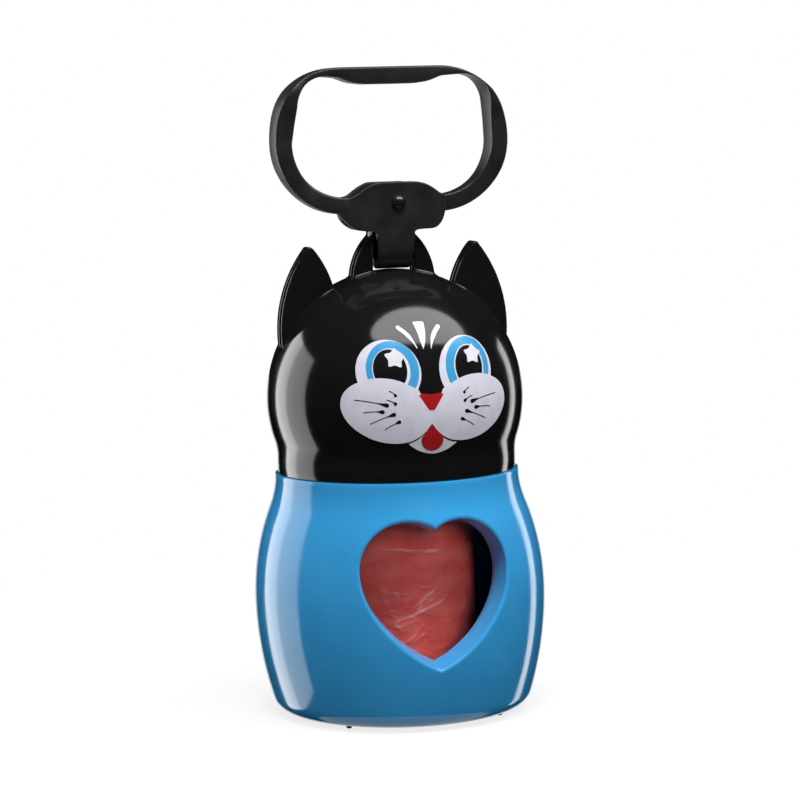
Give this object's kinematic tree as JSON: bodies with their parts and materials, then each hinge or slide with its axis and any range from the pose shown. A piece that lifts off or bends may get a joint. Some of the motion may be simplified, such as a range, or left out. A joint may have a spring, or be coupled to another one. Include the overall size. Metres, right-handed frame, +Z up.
{
  "type": "waste bag dispenser",
  "caption": "Cat-shaped dispenser: a blue barrel body with a heart window over a bag roll, a black lift-off head with ears, and a rubber hanger loop.",
  "frame": {"origin": "on the table under the middle of the base", "axes": "+Z up through the body and the hanger, the face and the heart window look along -Y, +X to the viewer's right"},
  "size_m": [0.0568, 0.056, 0.1253],
  "materials": {
    "blue_plastic": "glossy moulded light blue",
    "black_plastic": "glossy moulded black with a printed face",
    "board": "brown board tube",
    "bag_film": "wound red film, creased",
    "black_rubber": "satin black",
    "dark_steel": "gloss black lacquer"
  },
  "bodies": {
    "body": {"base_plate": "blue_plastic", "body_front_shell": "blue_plastic", "body_rear_shell": "blue_plastic"},
    "head": {"head_front_shell": "black_plastic", "head_rear_shell": "black_plastic", "neck_collar": "black_plastic"},
    "roll": {"roll_core": "board", "bag_roll": "bag_film"},
    "strap": {"hanger_strap": "black_rubber", "hanger_rivet": "dark_steel", "rivet_cap": "dark_steel"}
  },
  "joints": [
    {"name": "head_lift", "type": "slide", "parent": "body", "child": "head", "axis": [0, 0, 1], "range_m": [0, 0.03]},
    {"name": "roll_spin", "type": "hinge", "parent": "body", "child": "roll", "pos_m": [0, 0, 0.03], "axis": [0, 0, 1], "continuous": true},
    {"name": "strap_swing", "type": "hinge", "parent": "head", "child": "strap", "pos_m": [0, 0, 0.09289], "axis": [1, 0, 0], "range_deg": [-50, 50]}
  ]
}
